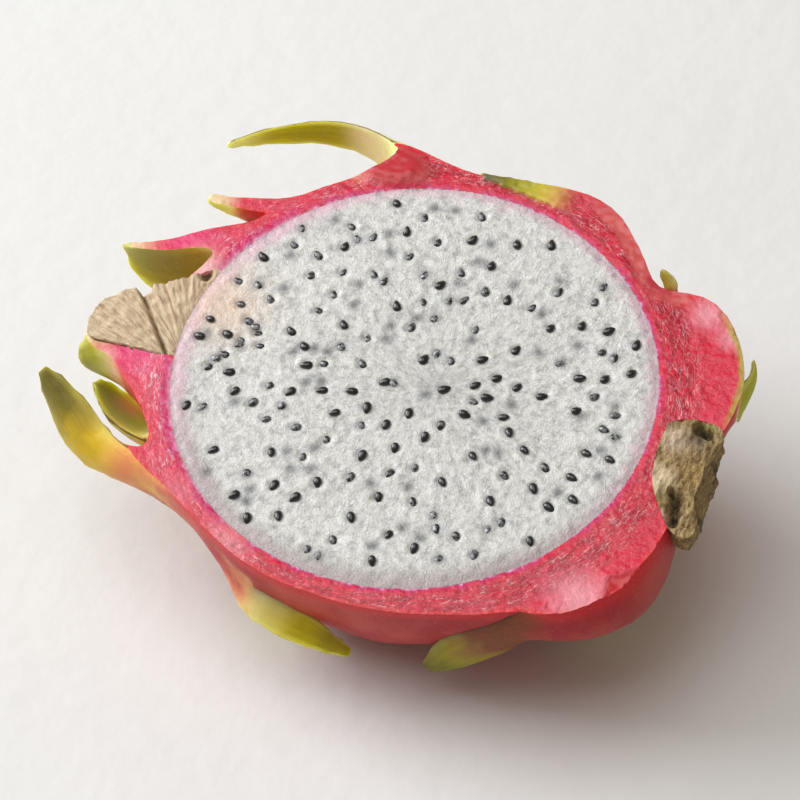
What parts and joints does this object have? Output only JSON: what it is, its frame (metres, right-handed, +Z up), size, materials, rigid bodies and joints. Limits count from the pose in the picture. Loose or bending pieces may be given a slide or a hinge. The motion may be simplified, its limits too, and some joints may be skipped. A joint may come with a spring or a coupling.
{
  "type": "dragon fruit",
  "caption": "Half of a fresh white-fleshed dragon fruit, cut lengthwise and lying on its back, with a pink rind, green-tipped scales, black seeds and the dried flower.",
  "frame": {"origin": "middle of the bounding box, on the surface the half lies on", "axes": "+X from the blossom end to the stem end, +Y towards the raised far rim of the cut face, +Z up"},
  "size_m": [0.1222, 0.0934, 0.0553],
  "materials": {
    "rind": "satin skin, pink to crimson, with green scale tips",
    "flesh": "wet, translucent white pulp with black seeds",
    "dried_flower": "dry, ridged and cracked straw tan",
    "stem_stub": "dry, fibrous brown"
  },
  "bodies": {
    "root": {"rind": "rind", "flesh": "flesh", "dried_flower": "dried_flower", "stem_stub": "stem_stub"}
  },
  "joints": []
}
